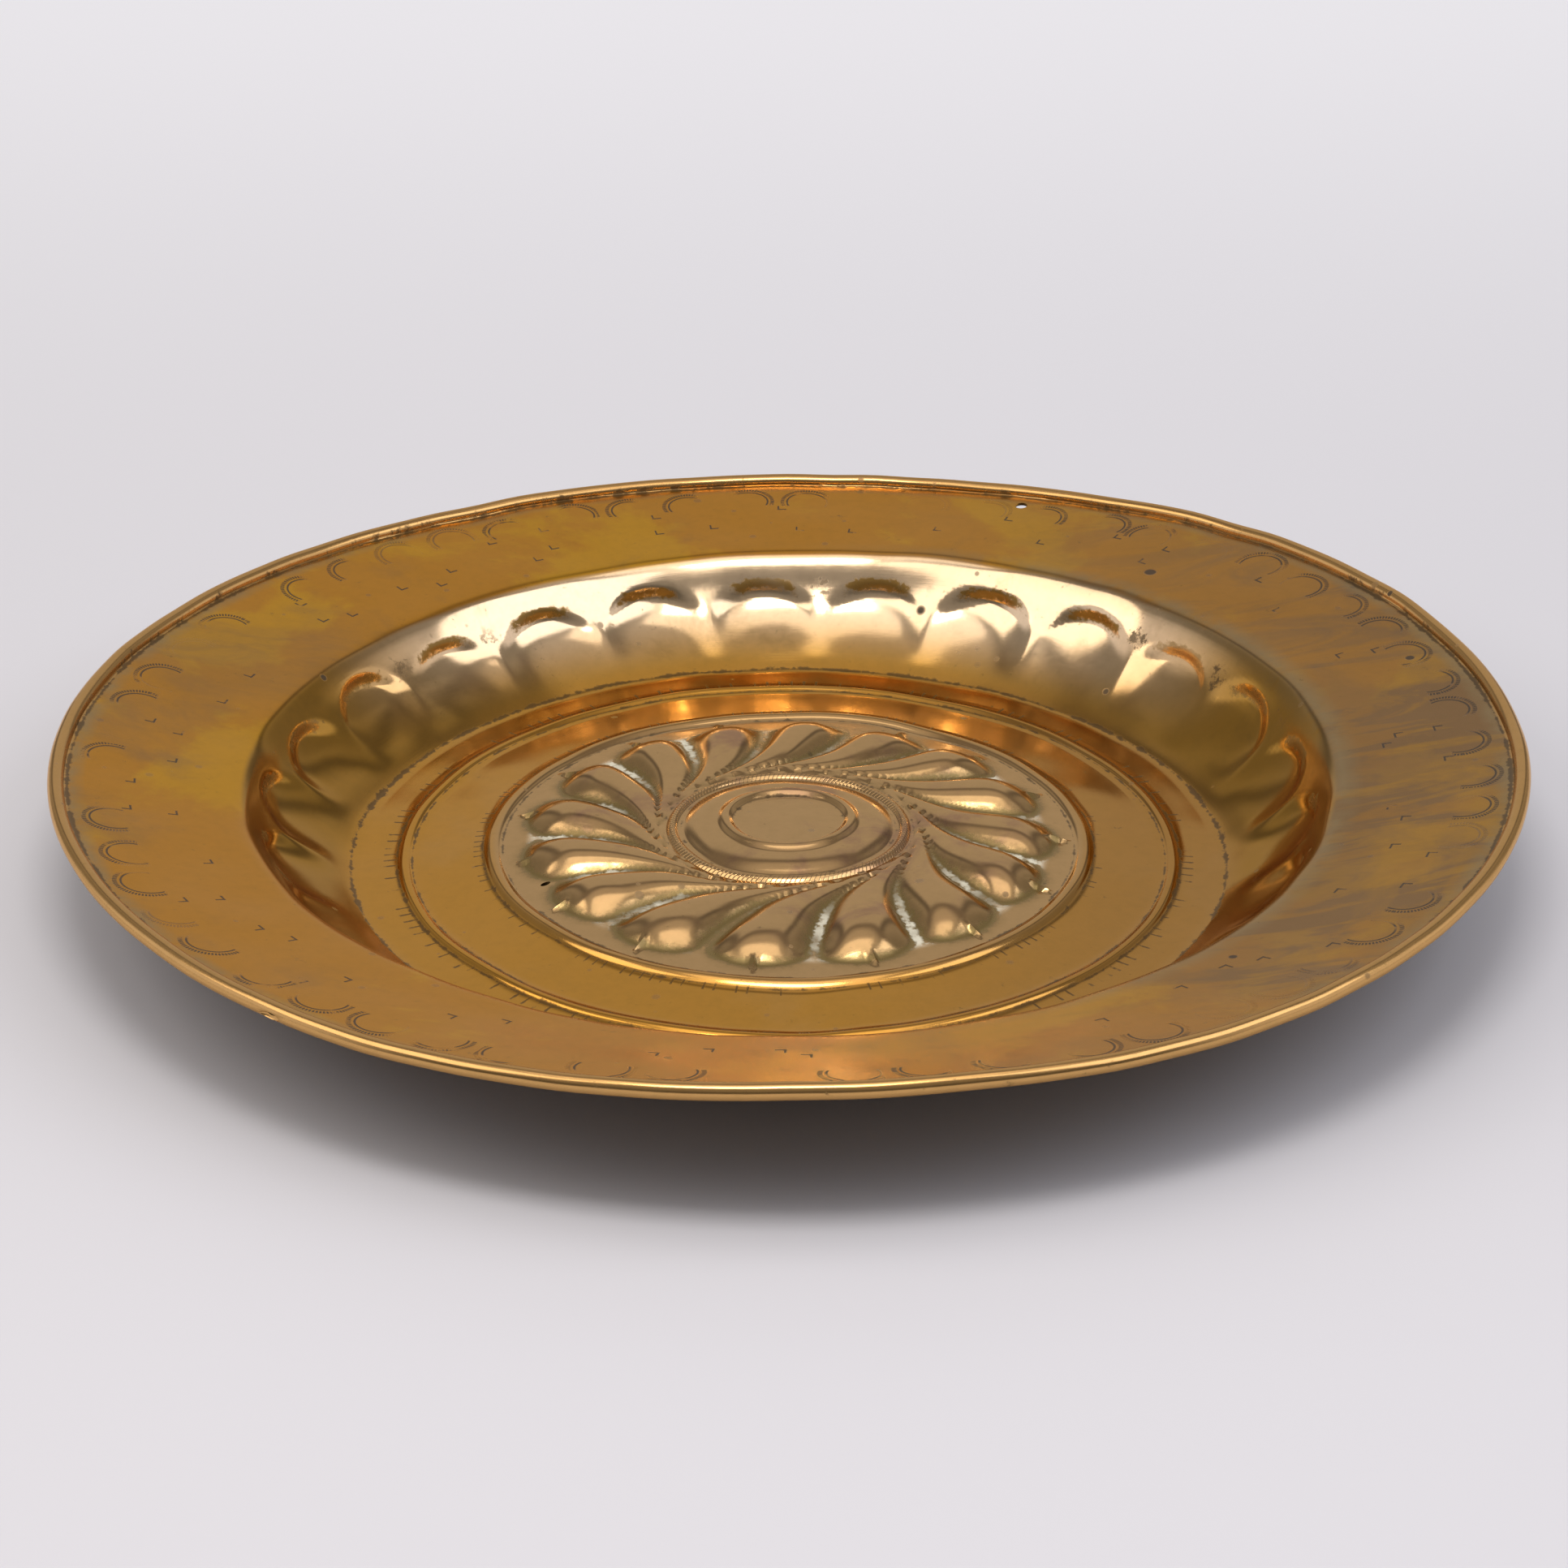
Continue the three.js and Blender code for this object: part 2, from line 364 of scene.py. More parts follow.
def rollRing(r, z, degrees):
    # the whole roll rides on the edge, so that it keeps its round section
    lift = warp(sheet["rollCentre"][0], degrees) + hammered(sheet["rollCentre"][0], degrees)
    a = np.radians(degrees)
    return np.stack([r * np.cos(a), r * np.sin(a), z + lift], axis=1)


def dishRings():
    rings = []
    for r, count in topRings:
        degrees = anglesOf(count)
        rings.append(ringOf(r, topPoint(np.full(count, r), degrees, False), degrees))
    for r, count in wallRings:
        degrees = anglesOf(count)
        rings.append(ringOf(*wallPoint(r, degrees, False), degrees))
    rings += rollRings()
    plain = ringCounts["plain"]
    degrees = anglesOf(plain)
    back, edge = sheet["rollBack"], sheet["wallLine"][-1][0]
    rings.append(ringOf(back["radius"], wallHeight(edge) - back["under"], degrees))
    for i, (r, count) in enumerate(wallRings[::-1]):  # the plain underside needs only some of the rings
        if 162 < r < 204 and i % 2 or r > 204:
            continue
        rings.append(restingRing(*wallPoint(r, degrees, True), degrees))
    for i, (r, count) in enumerate(topRings[::-1]):
        if i % 2 == 0 or r < 14:
            rings.append(restingRing(r, topPoint(np.full(plain, r), degrees, True), degrees))
    return rings


def stitch(rings):
    # joins rings of equal count with quads, and a ring to one twice as fine with a quad and a triangle
    middle = float(bossHeight(0) + hammered(0, 0))
    points = np.concatenate([[[0, 0, middle]], *rings, [[0, 0, middle - sheet["thickness"]]]]) * mm
    starts = np.cumsum([1] + [len(ring) for ring in rings])
    faces = [(0, 1 + i, 1 + (i + 1) % len(rings[0])) for i in range(len(rings[0]))]
    for k in range(len(rings) - 1):
        a, b = starts[k], starts[k + 1]
        na, nb = len(rings[k]), len(rings[k + 1])
        for i in range(max(na, nb)):
            j = (i + 1) % max(na, nb)
            if na == nb:
                faces.append((a + i, b + i, b + j, a + j))
            elif na < nb:
                corner = (a + i // 2, b + i, b + j)
                faces.append((*corner, a + (j // 2) % na) if i % 2 else corner)
            else:
                corner = (a + i, b + i // 2, a + j)
                faces.append((a + i, b + i // 2, b + (j // 2) % nb, a + j) if i % 2 else corner)
    last, tip = starts[-2], len(points) - 1
    count = len(rings[-1])
    faces += [(tip, last + (i + 1) % count, last + i) for i in range(count)]
    return points, faces


def meshObject(name, points, faces):
    data = bpy.data.meshes.new(name)
    data.from_pydata([tuple(p) for p in points], [], faces)
    data.validate()
    data.shade_smooth()
    piece = bpy.data.objects.new(name, data)
    bpy.context.scene.collection.objects.link(piece)
    return piece


# cutters for the hanging hole, the tear and the nick

def cutterAt(name, kind, size, place, turn):
    if kind == "hole":
        bpy.ops.mesh.primitive_cylinder_add(vertices=48, radius=0.5, depth=1)
    else:
        bpy.ops.mesh.primitive_uv_sphere_add(segments=32, ring_count=16, radius=0.5)
    cutter = bpy.context.object
    cutter.name = name
    cutter.scale = [s * mm for s in size]
    cutter.rotation_euler = (0, 0, math.radians(turn))
    cutter.location = [p * mm for p in place]
    return cutter


def cutFrom(piece, cutters):
    for cutter in cutters:
        step = piece.modifiers.new(cutter.name, "BOOLEAN")
        step.operation, step.solver, step.object = "DIFFERENCE", "MANIFOLD", cutter
        with bpy.context.temp_override(object=piece, active_object=piece):
            bpy.ops.object.modifier_apply(modifier=step.name)
        bpy.data.objects.remove(cutter)


def holeCutters():
    cutters = []
    for name in ("hanging", "tear"):
        hole = holes[name]
        a = math.radians(hole["angle"])
        turn = hole.get("turn", 0)
        place = (hole["radius"] * math.cos(a), hole["radius"] * math.sin(a), 38 if name == "hanging" else 5)
        cutters.append(cutterAt(name, "hole", (hole["length"], hole["width"], 14), place, turn))
    nick = holes["nick"]
    a = math.radians(nick["angle"])
    outside = sheet["rollCentre"][0] + sheet["rollInside"] + sheet["thickness"]
    z = sheet["rollCentre"][1] - 0.6 + float(waves(outOfTrue["rim"], nick["angle"]))
    size = (nick["width"], nick["length"], nick["height"])
    place = (outside * math.cos(a), outside * math.sin(a), z)
    cutters.append(cutterAt("nick", "bite", size, place, nick["angle"]))
    return cutters


# masks kept on the mesh, so that dirt, and the dark band under each scoop's lip, lie where the relief puts
# them

def addMasks(piece):
    data = piece.data
    points = np.empty(len(data.vertices) * 3)
    data.vertices.foreach_get("co", points)
    x, y, z = points.reshape(-1, 3).T / mm
    r, degrees = np.hypot(x, y), np.degrees(np.arctan2(y, x))
    normals = np.empty(len(data.vertices) * 3)
    data.vertex_normals.foreach_get("vector", normals)
    masks = {
        "grooveMm": np.full(len(r), 9.0), "valleyMm": np.full(len(r), 9.0), "arch": np.zeros(len(r)),
        "spandrel": np.zeros(len(r)), "underside": smooth(-normals.reshape(-1, 3)[:, 2], -0.1, 0.35),
    }
    on = (r > rosette["tail"]) & (r < 84)
    sides, end, across, pitch = lobeEdge(r[on], degrees[on])
    masks["grooveMm"][on] = np.abs(np.minimum(sides, end))
    between = np.maximum(np.minimum(sides, end + 1.2), -2)
    masks["valleyMm"][on] = np.where(np.abs(across) > 0.7, between, 9)
    wall = (r > sheet["floorEdge"]) & (r < 160)
    across = scoopPlace(degrees[wall])
    height = z[wall] - warp(r[wall], degrees[wall])
    under = scoopLip(across) - height
    middle = 1 - smooth(np.abs(across), 0.35, 0.75)
    masks["arch"][wall] = (1 - smooth(under, 1.6, 5.0)) * smooth(under, -0.9, 0.4) * middle
    between = smooth(np.abs(across), 0.62, 1.0)
    masks["spandrel"][wall] = between * smooth(height, 15, 19) * (1 - smooth(height, 21, 25))
    for name, values in masks.items():
        layer = data.attributes.new(name, "FLOAT", "POINT")
        layer.data.foreach_set("value", values.astype(np.float32))


def makeDish():
    points, faces = stitch(dishRings())
    piece = meshObject("alms_dish", points, faces)
    print("dish sheet:", len(faces), "faces")
    cutFrom(piece, holeCutters())
    piece.data.set_sharp_from_angle(angle=math.radians(48))
    addMasks(piece)
    return piece


# iron wire inside the roll

wire = {"radius": 1.0, "steps": 320, "sides": 12, "jointAngle": 158, "jointGap": 0.12, "pitting": 0.05}


def makeWire():
    draw = random.Random(11)
    centre, steps, sides = sheet["rollCentre"], wire["steps"], wire["sides"]
    degrees = wire["jointAngle"] + np.linspace(wire["jointGap"], 360 - wire["jointGap"], steps + 1)
    lift = warp(centre[0], degrees) + hammered(centre[0], degrees)
    points = []
    for d, up in zip(degrees, lift):
        a = math.radians(d)
        for side in range(sides):
            t = 2 * math.pi * side / sides
            radius = wire["radius"] + draw.uniform(-1, 1) * wire["pitting"]
            r = centre[0] + radius * math.cos(t)
            points.append((r * math.cos(a), r * math.sin(a), centre[1] + up + radius * math.sin(t)))
    faces = []
    for i in range(steps):
        for side in range(sides):
            here, beside = i * sides + side, i * sides + (side + 1) % sides
            faces.append((here, beside, beside + sides, here + sides))
    faces.append(tuple(reversed(range(sides))))
    faces.append(tuple(range(steps * sides, (steps + 1) * sides)))
    points = np.array(points) * mm
    return meshObject("iron_wire", points, [tuple(reversed(f)) for f in faces])


# node helpers

def put(tree, kind, place=(0, 0), **settings):
    node = tree.nodes.new(kind)
    node.location = place
    for name, value in settings.items():
        setattr(node, name, value)
    return node


def feed(tree, socket, value):
    if isinstance(value, bpy.types.NodeSocket):
        tree.links.new(value, socket)
    else:
        socket.default_value = value


def calc(tree, operation, *values, clamp=False):
    node = put(tree, "ShaderNodeMath", operation=operation, use_clamp=clamp)
    for socket, value in zip(node.inputs, values):
        feed(tree, socket, value)
    return node.outputs[0]


def ramp(tree, value, low, high):
    # 0 below low and 1 above high, eased
    node = put(tree, "ShaderNodeMapRange", interpolation_type="SMOOTHSTEP")
    feed(tree, node.inputs["Value"], value)
    feed(tree, node.inputs["From Min"], low)
    feed(tree, node.inputs["From Max"], high)
    return node.outputs["Result"]


def blend(tree, share, first, second):
    node = put(tree, "ShaderNodeMix", data_type="RGBA")
    feed(tree, node.inputs[0], share)
    feed(tree, node.inputs[6], first)
    feed(tree, node.inputs[7], second)
    return node.outputs[2]


def noise(tree, vector, scale, detail=4.0, roughness=0.55, distortion=0.0):
    node = put(tree, "ShaderNodeTexNoise")
    feed(tree, node.inputs["Vector"], vector)
    feed(tree, node.inputs["Scale"], scale)
    node.inputs["Detail"].default_value = detail
    node.inputs["Roughness"].default_value = roughness
    node.inputs["Distortion"].default_value = distortion
    return node.outputs["Fac"]


def vector(tree, x, y, z):
    node = put(tree, "ShaderNodeCombineXYZ")
    for socket, value in zip(node.inputs, (x, y, z)):
        feed(tree, socket, value)
    return node.outputs[0]


def newGroup(name, inputs, outputs):
    group = bpy.data.node_groups.new(name, "ShaderNodeTree")
    for label, kind, value in inputs:
        socket = group.interface.new_socket(label, in_out="INPUT", socket_type=kind)
        if value is not None:
            socket.default_value = value
    for label, kind in outputs:
        group.interface.new_socket(label, in_out="OUTPUT", socket_type=kind)
    return group, put(group, "NodeGroupInput"), put(group, "NodeGroupOutput")


def place(tree, group, **values):
    node = put(tree, "ShaderNodeGroup", node_tree=group)
    for name, value in values.items():
        feed(tree, node.inputs[name], value)
    return node


number, direction = "NodeSocketFloat", "NodeSocketVector"


def makePolar():
    # turns an object position into radius and angle, in mm and degrees
    group, start, end = newGroup("polarPlace", [("Position", direction, None)], [
        ("Radius", number), ("Degrees", number), ("Height", number), ("Along", direction),
    ])
    parts = put(group, "ShaderNodeSeparateXYZ")
    feed(group, parts.inputs[0], start.outputs["Position"])
    x = calc(group, "MULTIPLY", parts.outputs[0], 1000.0)
    y = calc(group, "MULTIPLY", parts.outputs[1], 1000.0)
    z = calc(group, "MULTIPLY", parts.outputs[2], 1000.0)
    squares = calc(group, "ADD", calc(group, "MULTIPLY", x, x), calc(group, "MULTIPLY", y, y))
    radius = calc(group, "SQRT", squares)
    angle = calc(group, "DEGREES", calc(group, "ARCTAN2", y, x))
    feed(group, end.inputs["Radius"], radius)
    feed(group, end.inputs["Degrees"], angle)
    feed(group, end.inputs["Height"], z)
    # points on a circle of fixed size, so that noise runs in rings without a seam
    unitX, unitY = calc(group, "DIVIDE", x, radius), calc(group, "DIVIDE", y, radius)
    feed(group, end.inputs["Along"], vector(group, unitX, unitY, calc(group, "MULTIPLY", radius, 0.1)))
    return group


def makeClouds():
    # soft patches of tarnish
    group, start, end = newGroup("tarnishClouds", [
        ("Position", direction, None), ("Scale", number, 20.0), ("Cover", number, 0.5),
        ("Softness", number, 0.15),
    ], [("Mask", number)])
    field = noise(group, start.outputs["Position"], start.outputs["Scale"], 6.0, 0.6, 0.4)
    low = calc(group, "SUBTRACT", 1.0, start.outputs["Cover"])
    high = calc(group, "ADD", low, start.outputs["Softness"])
    feed(group, end.inputs["Mask"], ramp(group, field, low, high))
    return group


def makeRingBand():
    # a line round the dish at one radius
    group, start, end = newGroup("ringBand", [
        ("Radius", number, 0.0), ("Centre", number, 100.0), ("Width", number, 1.0),
    ], [("Mask", number)])
    off = calc(group, "ABSOLUTE", calc(group, "SUBTRACT", start.outputs["Radius"], start.outputs["Centre"]))
    share = calc(group, "SUBTRACT", 1.0, calc(group, "DIVIDE", off, start.outputs["Width"]), clamp=True)
    feed(group, end.inputs["Mask"], share)
    return group


def makeSpecks():
    # round pits and dots, thinned out by their own random numbers
    group, start, end = newGroup("pitSpecks", [
        ("Position", direction, None), ("Scale", number, 200.0), ("Size", number, 0.2),
        ("Share", number, 0.2),
    ], [("Mask", number)])
    cells = put(group, "ShaderNodeTexVoronoi", feature="F1")
    feed(group, cells.inputs["Vector"], start.outputs["Position"])
    feed(group, cells.inputs["Scale"], start.outputs["Scale"])
    parts = put(group, "ShaderNodeSeparateColor")
    feed(group, parts.inputs[0], cells.outputs["Color"])
    chosen = calc(group, "LESS_THAN", parts.outputs[0], start.outputs["Share"])
    size = calc(group, "MULTIPLY", start.outputs["Size"], calc(group, "ADD", 0.4, parts.outputs[1]))
    away = ramp(group, cells.outputs["Distance"], calc(group, "MULTIPLY", size, 0.6), size)
    dot = calc(group, "SUBTRACT", 1.0, away)
    feed(group, end.inputs["Mask"], calc(group, "MULTIPLY", dot, chosen))
    return group


def makeRubbing():
    # hair-fine scratches that run round the dish, crossed by a few straight ones
    group, start, end = newGroup("polishMarks", [
        ("Position", direction, None), ("Along", direction, None),
    ], [("Height", number), ("Haze", number), ("Streaks", number)])
    stretch = put(group, "ShaderNodeVectorMath", operation="MULTIPLY")
    feed(group, stretch.inputs[0], start.outputs["Along"])
    stretch.inputs[1].default_value = (1.6, 1.6, 26.0)
    rings = noise(group, stretch.outputs[0], 3.0, 3.0, 0.7)
    turn = put(group, "ShaderNodeMapping")
    feed(group, turn.inputs["Vector"], start.outputs["Position"])
    turn.inputs["Rotation"].default_value = (0, 0, 0.35)
    turn.inputs["Scale"].default_value = (12, 900, 12)
    straight = noise(group, turn.outputs[0], 1.0, 2.0, 0.6)
    total = calc(group, "ADD", calc(group, "MULTIPLY", rings, 0.7), calc(group, "MULTIPLY", straight, 0.3))
    feed(group, end.inputs["Height"], total)
    feed(group, end.inputs["Haze"], noise(group, start.outputs["Position"], 55.0, 5.0, 0.65))
    long = put(group, "ShaderNodeMapping")
    feed(group, long.inputs["Vector"], start.outputs["Position"])
    long.inputs["Rotation"].default_value = (0, 0, -0.12)
    long.inputs["Scale"].default_value = (16, 52, 16)
    feed(group, end.inputs["Streaks"], noise(group, long.outputs[0], 1.0, 6.0, 0.62, 0.9))
    return group


stamps = {"count": 60, "phase": 4.0, "foot": 190.5, "arch": 8.4, "tooth": 1.6, "line": 0.42, "gap": 1.6}


def makeStamps():
    # the punched border: toothed arches with an inner line, and short hooks between their feet
    group, start, end = newGroup("stampedBorder", [
        ("Position", direction, None), ("Radius", number, 0.0), ("Degrees", number, 0.0),
    ], [("Mask", number)])
    radius, degrees = start.outputs["Radius"], start.outputs["Degrees"]
    pitch = 360 / stamps["count"]

    def fading(index, seed):
        chance = put(group, "ShaderNodeTexWhiteNoise", noise_dimensions="1D")
        feed(group, chance.inputs["W"], calc(group, "ADD", index, seed))
        return chance.outputs["Value"]

    def local(shift):
        turns = calc(group, "DIVIDE", calc(group, "SUBTRACT", degrees, shift), pitch)
        index = calc(group, "ROUND", turns)
        off = calc(group, "SUBTRACT", turns, index)
        jitter = calc(group, "MULTIPLY", calc(group, "SUBTRACT", fading(index, 31.5 + shift), 0.5), 0.22)
        across = calc(group, "MULTIPLY", calc(group, "ADD", off, jitter), math.radians(pitch) * 195)
        lift = calc(group, "MULTIPLY", calc(group, "SUBTRACT", fading(index, 77.3 + shift), 0.5), 2.4)
        return index, across, calc(group, "SUBTRACT", radius, lift)

    index, across, out = local(stamps["phase"])
    up = calc(group, "SUBTRACT", out, stamps["foot"] + 2.2)
    squares = calc(group, "ADD", calc(group, "MULTIPLY", across, across), calc(group, "MULTIPLY", up, up))
    away = calc(group, "SQRT", squares)
    bend = calc(group, "ARCTAN2", up, across)
    teeth = calc(group, "PINGPONG", calc(group, "MULTIPLY", bend, 9.5), 0.5)
    toothRow = calc(group, "ABSOLUTE", calc(group, "SUBTRACT", away, stamps["arch"]))
    tooth = calc(group, "SUBTRACT", 1.0, ramp(group, toothRow, stamps["tooth"] * 0.3, stamps["tooth"] * 0.5))
    tooth = calc(group, "MULTIPLY", tooth, ramp(group, teeth, 0.1, 0.26))
    innerRow = calc(group, "ABSOLUTE", calc(group, "SUBTRACT", away, stamps["arch"] - stamps["gap"]))
    inner = calc(group, "SUBTRACT", 1.0, ramp(group, innerRow, stamps["line"] * 0.5, stamps["line"]))
    upper = ramp(group, up, -3.2, -2.4)
    lean = calc(group, "MULTIPLY", calc(group, "SUBTRACT", fading(index, 5.1), 0.5), 12.0)
    leaning = calc(group, "ADD", across, lean)
    partOnly = ramp(group, calc(group, "ABSOLUTE", leaning), 9.5, 6.5)
    strength = ramp(group, fading(index, 12.7), 0.08, 0.35)
    arch = calc(group, "MULTIPLY", calc(group, "MAXIMUM", tooth, inner), upper)
    arch = calc(group, "MULTIPLY", arch, calc(group, "MULTIPLY", strength, partOnly))

    def hooks(shift, row, share, seed):
        index, across, out = local(shift)
        up = calc(group, "SUBTRACT", out, row)
        barLong = calc(group, "SUBTRACT", calc(group, "ABSOLUTE", across), 1.5)
        barHigh = calc(group, "SUBTRACT", calc(group, "ABSOLUTE", up), 0.2)
        legLong = calc(group, "SUBTRACT", calc(group, "ABSOLUTE", calc(group, "SUBTRACT", up, 1.2)), 1.2)
        legWide = calc(group, "SUBTRACT", calc(group, "ABSOLUTE", calc(group, "SUBTRACT", across, 1.2)), 0.2)
        bar, leg = calc(group, "MAXIMUM", barLong, barHigh), calc(group, "MAXIMUM", legLong, legWide)
        near = calc(group, "MINIMUM", bar, leg)
        mark = calc(group, "SUBTRACT", 1.0, ramp(group, near, 0.0, 0.25))
        return calc(group, "MULTIPLY", mark, calc(group, "LESS_THAN", fading(index, seed), share))

    marks = hooks(stamps["phase"] + pitch / 2, 187.0, 0.45, 3.3)
    marks = calc(group, "MAXIMUM", marks, hooks(1.7, 176.0, 0.35, 8.8))
    marks = calc(group, "MAXIMUM", marks, hooks(4.9, 170.5, 0.25, 21.4))
    worn = ramp(group, noise(group, start.outputs["Position"], 90.0, 3.0, 0.6), 0.30, 0.44)
    total = calc(group, "MULTIPLY", calc(group, "MAXIMUM", arch, marks), worn)
    feed(group, end.inputs["Mask"], total)
    return group


# brass

brass = {
    "wallTop": (0.82, 0.605, 0.375, 1),
    "wallFoot": (0.62, 0.33, 0.060, 1),
    "wallSideShade": (0.38, 0.19, 0.032, 1),
    "floor": (0.66, 0.325, 0.055, 1),
    "orange": (0.63, 0.285, 0.038, 1),
    "gold": (0.71, 0.36, 0.035, 1),
    "greyBrown": (0.32, 0.185, 0.085, 1),
    "rosette": (0.62, 0.39, 0.17, 1),
    "rosyReflection": (0.46, 0.265, 0.15, 1),
    "bead": (0.64, 0.37, 0.13, 1),
    "greenish": (0.38, 0.285, 0.15, 1),
    "edgeTint": (1, 0.87, 0.70, 1),
    "undersideDark": (0.13, 0.07, 0.025, 1),
    "olive": (0.16, 0.12, 0.035, 1),
    "brown": (0.042, 0.026, 0.010, 1),
    "archBrown": (0.25, 0.145, 0.035, 1),
    "dark": (0.022, 0.016, 0.010, 1),
    "residue": (0.70, 0.68, 0.54, 1),
    "roughness": 0.07,
    "dirtLines": [  # radius, width and strength of the dark lines beside the rings, the wall and the bead
        (16.0, 1.0, 0.7), (31.3, 1.2, 0.5), (36.3, 1.1, 0.5), (83.2, 1.0, 0.7), (89.1, 1.0, 0.75),
        (109.5, 0.9, 0.8), (113.9, 1.1, 0.9), (127.2, 1.5, 0.9), (204.6, 1.5, 1.0),
    ],
}


def attribute(tree, name):
    return put(tree, "ShaderNodeAttribute", attribute_name=name).outputs["Fac"]


def makeBrass(groups):
    material = bpy.data.materials.new("agedBrass")
    material.use_nodes = True
    tree = material.node_tree
    shader = tree.nodes["Principled BSDF"]
    position = put(tree, "ShaderNodeTexCoord").outputs["Object"]
    polar = place(tree, groups["polar"], Position=position)
    radius, degrees = polar.outputs["Radius"], polar.outputs["Degrees"]
    rubbing = place(tree, groups["rubbing"], Position=position, Along=polar.outputs["Along"])
    haze = rubbing.outputs["Haze"]
    jitter = calc(tree, "MULTIPLY", calc(tree, "SUBTRACT", noise(tree, position, 420.0, 4.0, 0.65), 0.5), 1.0)

    # metal: orange flange with gold and grey-brown clouds; tan rosette with a painted pinkish reflection near
    # the middle; the wall's back half paler up high as a painted highlight, its left and right sides darker
    # as painted shade
    parts = put(tree, "ShaderNodeSeparateXYZ")
    feed(tree, parts.inputs[0], position)
    clouds = place(tree, groups["clouds"], Position=position, Scale=11.0, Cover=0.5, Softness=0.13).outputs[0]
    golden = place(tree, groups["clouds"], Position=position, Scale=17.0, Cover=0.5, Softness=0.1).outputs[0]
    smallClouds = place(tree, groups["clouds"], Position=position, Scale=46.0, Cover=0.48, Softness=0.2)
    onFlange = ramp(tree, radius, 155.6, 157.4)
    onBead = ramp(tree, radius, 204.4, 205.6)
    onRosette = calc(tree, "SUBTRACT", 1.0, ramp(tree, radius, 83.0, 90.0))
    upWall = ramp(tree, polar.outputs["Height"], 2.0, 15.0)
    dulled = calc(tree, "MULTIPLY", ramp(tree, parts.outputs[0], 0.0, 0.18), 0.7)
    dulled = calc(tree, "ADD", dulled, calc(tree, "MULTIPLY", clouds, 0.45))
    streaks = ramp(tree, rubbing.outputs["Streaks"], 0.46, 0.62)
    streaked = calc(tree, "ADD", 0.65, calc(tree, "MULTIPLY", streaks, 0.5))
    dulled = calc(tree, "MULTIPLY", dulled, streaked, clamp=True)
    flange = blend(tree, golden, brass["orange"], brass["gold"])
    flange = blend(tree, dulled, flange, brass["greyBrown"])
    nearMiddle = calc(tree, "SUBTRACT", 1.0, ramp(tree, radius, 62.0, 74.0))
    # painted reflection: a pinkish tone in random patches on the inner rosette stands in for the ceiling
    # mirrored there
    rosyReflection = calc(tree, "MULTIPLY", smallClouds.outputs[0], nearMiddle)
    inside = blend(tree, rosyReflection, brass["rosette"], brass["rosyReflection"])
    floor = blend(tree, calc(tree, "MULTIPLY", clouds, 0.15), brass["floor"], brass["rosette"])
    toRight = calc(tree, "MULTIPLY", ramp(tree, parts.outputs[0], 0.0, 0.11), 0.4)
    floor = blend(tree, toRight, floor, brass["greyBrown"])
    # painted highlight: the upper wall on the back half, where it mirrors the lamps, is made paler
    backWallHighlight = calc(tree, "MULTIPLY", upWall, ramp(tree, parts.outputs[1], 0.055, 0.125))
    # painted shade: the wall's left and right sides are made darker
    sideWallShade = calc(tree, "MULTIPLY", ramp(tree, calc(tree, "ABSOLUTE", parts.outputs[0]), 0.08, 0.135), 0.6)
    wall = blend(tree, sideWallShade, brass["wallFoot"], brass["wallSideShade"])
    well = blend(tree, ramp(tree, radius, 124.0, 134.0), floor, wall)
    well = blend(tree, backWallHighlight, well, brass["wallTop"])
    wallPatches = calc(tree, "MULTIPLY", smallClouds.outputs[0], ramp(tree, radius, 126.0, 136.0))
    well = blend(tree, calc(tree, "MULTIPLY", wallPatches, 0.3), well, brass["archBrown"])
    well = blend(tree, onRosette, well, inside)
    colour = blend(tree, onFlange, well, flange)
    hazeEdge = place(tree, groups["band"], Radius=radius, Centre=203.5, Width=4.0).outputs[0]
    hazeShoulder = place(tree, groups["band"], Radius=radius, Centre=158.5, Width=6.0).outputs[0]
    hazeShoulder = calc(tree, "MULTIPLY", hazeShoulder, ramp(tree, parts.outputs[0], -0.02, 0.12))
    greenish = calc(tree, "MAXIMUM", hazeEdge, hazeShoulder)
    greenish = calc(tree, "MULTIPLY", greenish, ramp(tree, haze, 0.3, 0.58))
    colour = blend(tree, calc(tree, "MULTIPLY", greenish, 0.7), colour, brass["greenish"])
    colour = blend(tree, onBead, colour, brass["bead"])
    # faces that point down are made dark, less so on the bead
    underside = attribute(tree, "underside")
    offBead = calc(tree, "SUBTRACT", 1.0, calc(tree, "MULTIPLY", onBead, 0.7))
    below = calc(tree, "MULTIPLY", underside, offBead)
    colour = blend(tree, below, colour, brass["undersideDark"])

    # olive stain round the lobes and pale polish residue down in the valleys between them
    groove = attribute(tree, "grooveMm")
    ragged = calc(tree, "ADD", groove, calc(tree, "MULTIPLY", jitter, 3.6))
    stain = calc(tree, "SUBTRACT", 1.0, ramp(tree, ragged, 0.4, 2.6))
    outward = calc(tree, "MULTIPLY", ramp(tree, radius, 38.0, 48.0), 0.7)
    stain = calc(tree, "MULTIPLY", stain, calc(tree, "ADD", 0.3, outward))
    valley = calc(tree, "ADD", attribute(tree, "valleyMm"), calc(tree, "MULTIPLY", jitter, 4.2))
    deposit = calc(tree, "SUBTRACT", 1.0, ramp(tree, valley, -0.9, 0.2))
    patchy = ramp(tree, noise(tree, position, 38.0, 4.0, 0.6), 0.38, 0.6)
    midLobe = calc(tree, "MULTIPLY", ramp(tree, radius, 42.0, 58.0), ramp(tree, radius, 77.0, 73.5))
    deposit = calc(tree, "MULTIPLY", deposit, calc(tree, "MULTIPLY", patchy, midLobe))

